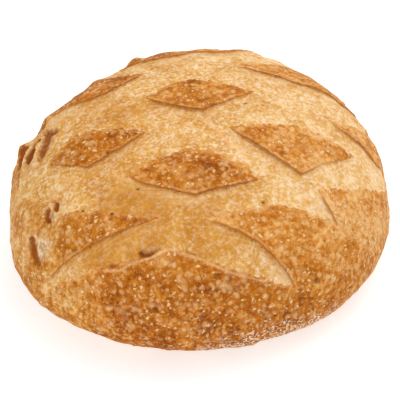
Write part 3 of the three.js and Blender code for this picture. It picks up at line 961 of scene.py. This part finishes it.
def texture_height(points, masks, place):
    """Height too fine for the solid: grain, blisters and pits. Adds their masks."""
    crust = masks["crust"]
    height = mix(layered(points, BAND_GRAIN), layered(points, CRUST_GRAIN), crust)
    height = height + 0.4 * masks["side"] * value_noise(points, 3.6, 7)

    patchy = np.clip(0.55 + 0.9 * value_noise(points, 16, 5), 0.05, 1.5)
    weight = patchy * np.clip(crust - 0.35, 0, 1) * (0.6 + 0.6 * masks["toast"])
    warp = np.column_stack([value_noise(points, 2.8, seed) for seed in (11, 12, 13)])
    warped = points + BLISTER_WARP * warp
    tree = vertex_tree(warped)
    pale = np.zeros(len(points))
    for count, radii, share, palest in BLISTERS:
        field, size, tone = spot_field(tree, *scatter(warped, weight, count, radii), len(points))
        height += share * size * smooth_step(0, 0.8, field)
        pale = np.maximum(pale, palest * (0.25 + 0.75 * tone) * np.clip(field, 0, 0.6) / 0.6)
    field, size, _ = spot_field(tree, *scatter(warped, weight, *BURST), len(points))
    height += 0.16 * size * bell(field - 0.25, 0.25) - 0.25 * size * smooth_step(0.4, 0.9, field)
    masks["blister"] = pale
    masks["burst"] = field
    masks["pit"], pit_height = pit_relief(*place)
    return height + pit_height


def pit_relief(u, v):
    """1 in the middle of a pit, 0 on its rim and negative outside, and the height of the pits."""
    pit, height = np.full(len(u), -1.0), np.zeros(len(u))
    for at, radius, depth in PITS:
        field = 1 - np.hypot(u - at[0], v - at[1]) / radius
        height -= depth * smooth_step(0, 0.7, field) - 0.2 * bell(field + 0.25, 0.3)
        pit = np.maximum(pit, np.clip(field, -1, 1))
    return pit, height


def make_loaf():
    points, faces, places, on_foot, masks = build_surface()
    mesh = bpy.data.meshes.new("crust")
    mesh.from_pydata((points * MM).tolist(), [], faces.tolist())
    for name, mask in masks.items():
        layer = mesh.attributes.new(name, "FLOAT", "POINT")
        layer.data.foreach_set("value", mask.astype(np.float32))
    add_map(mesh, places, on_foot)
    mesh.shade_smooth()
    loaf = bpy.data.objects.new("crust", mesh)
    bpy.context.scene.collection.objects.link(loaf)
    loaf.data.materials.append(crust_material())
    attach(loaf, "root")
    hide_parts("loaf")


# The unrolled side fills the map's middle, and the foot has a disc of its own in a corner.
SIDE_DISC = (0.5, 0.5, 0.485)
FOOT_DISC = (0.085, 0.085, 0.08)


def add_map(mesh, places, on_foot):
    layer = mesh.uv_layers.new(name="OFBake")
    corners = np.zeros(len(mesh.loops), int)
    mesh.loops.foreach_get("vertex_index", corners)
    foot_face = on_foot[corners].reshape(-1, 3).all(axis=1).repeat(3)
    side = places / FOOT_ARC
    # The foot's own ring is also the side's last ring, where it lies at the edge of the big disc.
    bearing = np.arctan2(places[:, 1], places[:, 0])
    side[on_foot] = np.column_stack([np.cos(bearing), np.sin(bearing)])[on_foot]
    foot = places / (FOOT_RADIUS + 1)
    side_uv = np.array(SIDE_DISC[:2]) + SIDE_DISC[2] * side[corners]
    foot_uv = np.array(FOOT_DISC[:2]) + FOOT_DISC[2] * foot[corners]
    uv = np.where(foot_face[:, None], foot_uv, side_uv)
    layer.data.foreach_set("uv", uv.astype(np.float32).ravel())


# ---- The crust's material ----
def srgb(colour):
    """A screen colour of 0 to 255 as the linear colour that a shader takes."""
    linear = []
    for level in colour:
        c = level / 255
        linear.append(c / 12.92 if c <= 0.04045 else ((c + 0.055) / 1.055) ** 2.4)
    return (*linear, 1)


class Shader:
    """Short calls that add and link the nodes of one material. Its users call it s."""

    def __init__(self, name):
        self.material = bpy.data.materials.new(name)
        self.material.use_nodes = True
        self.tree = self.material.node_tree
        self.tree.nodes.clear()
        self.place = self.add("TexCoord").outputs["Object"]

    def add(self, kind, inputs=None, **settings):
        node = self.tree.nodes.new("ShaderNode" + kind)
        for key, value in settings.items():
            setattr(node, key, value)
        for key, value in (inputs or {}).items():
            if isinstance(value, bpy.types.NodeSocket):
                self.tree.links.new(value, node.inputs[key])
            else:
                node.inputs[key].default_value = value
        return node

    def mask(self, name):
        return self.add("Attribute", attribute_name=name).outputs["Fac"]

    def math(self, operation, a, b, clamp=False):
        return self.add("Math", {0: a, 1: b}, operation=operation, use_clamp=clamp).outputs[0]

    def times(self, a, b):
        return self.math("MULTIPLY", a, b)

    def vector(self, operation, inputs):
        return self.add("VectorMath", inputs, operation=operation).outputs[0]

    def step(self, low, high, x, to=(0.0, 1.0)):
        inputs = {"Value": x, "From Min": low, "From Max": high, "To Min": to[0], "To Max": to[1]}
        return self.add("MapRange", inputs, interpolation_type="SMOOTHSTEP").outputs[0]

    def noise(self, size, detail, seed=0.0, rough=0.5, place=None):
        """Noise of about 0.3 to 0.7 whose features are size millimetres across."""
        start = self.place if place is None else place
        shifted = self.vector("ADD", {0: start, 1: (seed, seed * 0.7, seed * 1.3)})
        inputs = {"Vector": shifted, "Scale": 1 / (size * MM), "Detail": detail, "Roughness": rough}
        return self.add("TexNoise", inputs).outputs["Fac"]

    def swing(self, amount, size, detail, seed=0.0, rough=0.5):
        """Noise on both sides of 0, as strong as the amount."""
        return self.times(self.math("SUBTRACT", self.noise(size, detail, seed, rough), 0.5), amount)

    def patches(self, low, high, size, detail, seed, rough=0.6):
        """Ragged patches: 0 where the noise is below low, and 1 where it is above high."""
        return self.step(low, high, self.noise(size, detail, seed, rough))

    def warped(self, size, reach):
        """The place pushed about by up to reach millimetres, in waves of size millimetres."""
        inputs = {"Vector": self.place, "Scale": 1 / (size * MM)}
        noise = self.add("TexNoise", inputs).outputs["Color"]
        centred = self.vector("SUBTRACT", {0: noise, 1: (0.5, 0.5, 0.5)})
        push = self.vector("SCALE", {0: centred, "Scale": 5 * reach * MM})
        return self.vector("ADD", {0: self.place, 1: push})

    def dots(self, size, radius, place, seed):
        """Spots on cells of size millimetres, of random strengths, and the ring round each."""
        shifted = self.vector("ADD", {0: place, 1: (seed, seed, seed)})
        cell = self.add("TexVoronoi", {"Vector": shifted, "Scale": 1 / (size * MM)})
        distance = cell.outputs["Distance"]
        random = self.add("SeparateColor", {0: cell.outputs["Color"]}).outputs[0]
        strength = self.step(0.2, 0.8, random)
        around = self.step(1.5 * radius / size, radius / size, distance)
        spot = self.times(strength, self.step(radius / size, 0.45 * radius / size, distance))
        return spot, self.math("SUBTRACT", self.times(strength, around), spot, clamp=True)

    def ramp(self, x, stops):
        node = self.add("ValToRGB", {"Fac": x})
        elements = node.color_ramp.elements
        while len(elements) < len(stops):
            elements.new(0.5)
        for element, (position, colour) in zip(elements, stops):
            element.position = position
            element.color = srgb(colour)
        return node.outputs["Color"]

    def mix(self, amount, a, b, blend="MIX"):
        inputs = {0: amount, 6: a, 7: b}
        return self.add("Mix", inputs, data_type="RGBA", blend_type=blend).outputs[2]

    def paint(self, under, mask, strength, over):
        """Lays a screen colour over another where the mask is, at most as strongly as given."""
        return self.mix(self.times(mask, strength), under, srgb(over))


def band_colour(s):
    """Bands of risen dough: golden, with tan and cream patches of several sizes and fine specks."""
    bake = s.mask("bake")
    plain = s.step(1.2, 0.2, bake, to=(0.3, 1.0))
    worn = s.step(0.0, 0.4, bake, to=(0.4, 1.0))
    colour = s.ramp(s.math("ADD", s.noise(13, 3, 0.1, 0.6), s.times(bake, -0.3)), BAND_RAMP)
    cream = s.times(plain, s.patches(0.5, 0.62, 4.5, 3, 0.12))
    colour = s.paint(colour, cream, 0.55, BAND_CREAM)
    tan = s.times(worn, s.patches(0.5, 0.62, 3.2, 3, 0.15))
    colour = s.paint(colour, tan, 0.62, BAND_TAN)
    fleck = s.times(plain, s.patches(0.46, 0.64, 2.1, 2, 0.2))
    colour = s.paint(colour, fleck, 0.5, BAND_FLECK)
    speck = s.times(worn, s.patches(0.48, 0.66, 1.7, 2, 0.25))
    colour = s.paint(colour, speck, 0.62, BAND_SPECK)

    # Fine streaks beside a lip, drawn out along it.
    from_lip = s.mask("across")
    across = s.add("CombineXYZ", {0: s.times(from_lip, MM)}).outputs[0]
    along = s.vector("SCALE", {0: s.place, "Scale": 0.22})
    streak = s.noise(1.5, 1, place=s.vector("ADD", {0: across, 1: along}))
    near_lip = s.step(11, 3, from_lip)
    colour = s.paint(colour, s.times(near_lip, s.step(0.48, 0.64, streak)), 0.3, STREAK_DARK)
    colour = s.paint(colour, s.times(near_lip, s.step(0.48, 0.34, streak)), 0.18, STREAK_PALE)
    # Painted shade on the band below each lip.
    return s.paint(colour, s.mask("shade"), 0.45, LIP_SHADE_PAINT)


def brown_colour(s):
    """Baked crust without its blisters: caramel, browner where toasted, streaked on the side."""
    coarse = s.swing(1.3, 15, 3, 0.3)
    fine = s.swing(1.5, 3.2, 4, 0.4, 0.6)
    upright = s.vector("MULTIPLY", {0: s.place, 1: (1, 1, 0.16)})
    streak = s.math("SUBTRACT", s.noise(2.4, 2, place=upright), 0.5)
    streaked = s.math("ADD", s.mask("toast"), s.times(streak, s.mask("side")))
    return s.ramp(s.math("ADD", streaked, s.math("ADD", coarse, fine)), CRUST_RAMP)


def mottled(s, colour, crust):
    """Browner and paler patches, a few millimetres across."""
    browned = s.times(crust, s.patches(0.53, 0.64, 3.6, 4, 2.3, 0.65))
    colour = s.paint(colour, browned, 0.55, MOTTLE_DARK)
    paler = s.times(crust, s.patches(0.54, 0.63, 3.0, 4, 2.7, 0.7))
    return s.paint(colour, paler, 0.5, MOTTLE_PALE)


def blistered(s, colour, crust):
    """Pale blisters of several sizes, most of them inside a thin darker ring, with painted
    highlights on the strongest, and burst ones.
    Also gives how high the small ones stand, for the bump."""
    place = s.warped(2.6, 0.8)
    wide, wide_ring = s.dots(5.6, 2.1, place, 0.5)
    middle, middle_ring = s.dots(3.0, 1.25, place, 0.9)
    fine, fine_ring = s.dots(2.0, 0.6, place, 1.3)
    ring = s.math("MAXIMUM", wide_ring, s.math("MAXIMUM", middle_ring, fine_ring))
    colour = s.paint(colour, s.times(ring, crust), 0.35, BLISTER_RING)
    smaller = s.math("MAXIMUM", middle, s.times(fine, 0.5))
    dome = s.times(s.math("MAXIMUM", s.times(wide, 0.6), smaller), crust)
    colour = s.paint(colour, dome, 0.72, BLISTER_SMALL)
    colour = s.paint(colour, s.mask("blister"), 0.75, BLISTER_LARGE)
    # Painted highlight on the tops of the strongest small blisters.
    colour = s.paint(colour, s.times(s.step(0.8, 1.0, middle), crust), 0.25, BLISTER_GLINT_PAINT)
    burst = s.mask("burst")
    burst_rim = s.times(s.step(0.0, 0.2, burst), s.step(0.65, 0.4, burst))
    colour = s.paint(colour, burst_rim, 0.28, BURST_RIM)
    return s.paint(colour, s.step(0.45, 0.7, burst), 0.35, BURST_FLOOR), dome


def floured(s, colour):
    """Pale and brown dust on the heel."""
    where = s.step(0.15, 0.6, s.math("ADD", s.mask("flour"), s.swing(1.0, 6, 3, 1.5)))
    colour = s.paint(colour, s.times(where, s.patches(0.5, 0.57, 1.8, 2, 1.9)), 0.75, FLOUR_BROWN)
    return s.paint(colour, s.times(where, s.patches(0.51, 0.58, 1.5, 2, 1.7)), 0.75, FLOUR_PALE)


def edged(s, colour):
    """Pale rims, partly a painted highlight, and pale ridges; grooves and tears with painted
    shadow; dark creases and pits; and bare crumb inside the widest tears.
    """
    # Pale rim along the tiles' edges: thinner, paler crust, and partly a painted highlight on the
    # crest.
    rim = s.times(s.mask("rim"), s.step(0.35, 0.6, s.noise(7, 2, 0.7)))
    colour = s.paint(colour, rim, 0.45, RIM_PALE_AND_HIGHLIGHT)
    colour = s.paint(colour, s.mask("seam"), 0.85, SEAM_PALE)
    # Painted shadow on the lips' walls and in the grooves under them.
    colour = s.paint(colour, s.mask("groove"), 0.85, GROOVE_SHADOW_PAINT)
    crumb = s.step(0.4, 0.6, s.noise(2.4, 3, 0.6))
    crumb_colour = s.mix(crumb, srgb(CRUMB_DARK), srgb(CRUMB_PALE))
    colour = s.mix(s.times(s.mask("crumb"), 0.85), colour, crumb_colour)
    # Painted shadow in the tears, made ragged, and the dark of the creases.
    dark = s.mask("dark")
    ragged_shade = s.times(s.swing(0.7, 2.4, 3, 0.35, 0.6), s.step(0.0, 0.3, dark))
    colour = s.paint(colour, s.step(0.2, 0.85, s.math("ADD", dark, ragged_shade)), 0.94, TEAR_SHADOW_AND_CREASE_DARK)
    return s.paint(colour, s.step(0.0, 0.5, s.mask("pit")), 0.7, PIT_DARK)


def crust_material():
    s = Shader("baked_crust")
    crust = s.step(0.42, 0.58, s.math("ADD", s.mask("crust"), s.swing(1.2, 4, 3)))
    colour = mottled(s, s.mix(crust, band_colour(s), brown_colour(s)), crust)
    colour, dome = blistered(s, colour, crust)
    colour = floured(s, colour)
    # The left side is less red, and its bands half as much.
    golden = s.times(s.mask("golden"), s.step(0.0, 1.0, crust, to=(0.5, 1.0)))
    colour = s.mix(golden, colour, GOLDEN_TINT, "MULTIPLY")
    colour = edged(s, colour)

    grain = s.math("ADD", s.noise(1.4, 3, 0.8, 0.6), s.times(dome, 0.9))
    bump = s.add("Bump", {"Height": grain, "Strength": 0.6, "Distance": 0.5 * MM})
    inputs = {
        "Base Color": colour,
        "Roughness": s.step(0.3, 0.7, s.noise(2.2, 2, 0.9), to=(0.5, 0.75)),
        "Normal": bump.outputs[0],
        "Specular IOR Level": 0.08,
    }
    shader = s.add("BsdfPrincipled", inputs)
    s.add("OutputMaterial", {"Surface": shader.outputs[0]})
    return s.material


# ---- Studio ----
def make_floor():
    mesh = bpy.data.meshes.new("floor")
    corners = [(-1, -1), (1, -1), (1, 1), (-1, 1)]
    mesh.from_pydata([(FLOOR_HALF * x, FLOOR_HALF * y, 0) for x, y in corners], [], [(0, 1, 2, 3)])
    floor = bpy.data.objects.new("floor", mesh)
    floor.location.z = -FLOOR_DROP
    bpy.context.scene.collection.objects.link(floor)
    s = Shader("floor")
    inputs = {
        "Base Color": (*[FLOOR_GREY] * 3, 1),
        "Roughness": 0.9,
        "Emission Color": (1, 1, 1, 1),
        "Emission Strength": FLOOR_GLOW,
    }
    shader = s.add("BsdfPrincipled", inputs)
    s.add("OutputMaterial", {"Surface": shader.outputs[0]})
    mesh.materials.append(s.material)


def area_light(name, location, power):
    light = bpy.data.objects.new(name, bpy.data.lights.new(name, "AREA"))
    light.data.size = LIGHT_SIZE
    light.data.energy = power
    light.location = location
    point_at(light, LIGHT_TARGET)
    bpy.context.scene.collection.objects.link(light)


def make_studio():
    make_floor()
    for name, (location, power) in LIGHTS.items():
        area_light(name, location, power)
    world = bpy.data.worlds.new("studio")
    world.use_nodes = True
    background = world.node_tree.nodes["Background"]
    background.inputs["Color"].default_value = (1, 1, 1, 1)
    background.inputs["Strength"].default_value = SKY_STRENGTH
    bpy.context.scene.world = world
    bpy.context.scene.view_settings.view_transform = "Standard"


make_camera()
make_loaf()
make_studio()
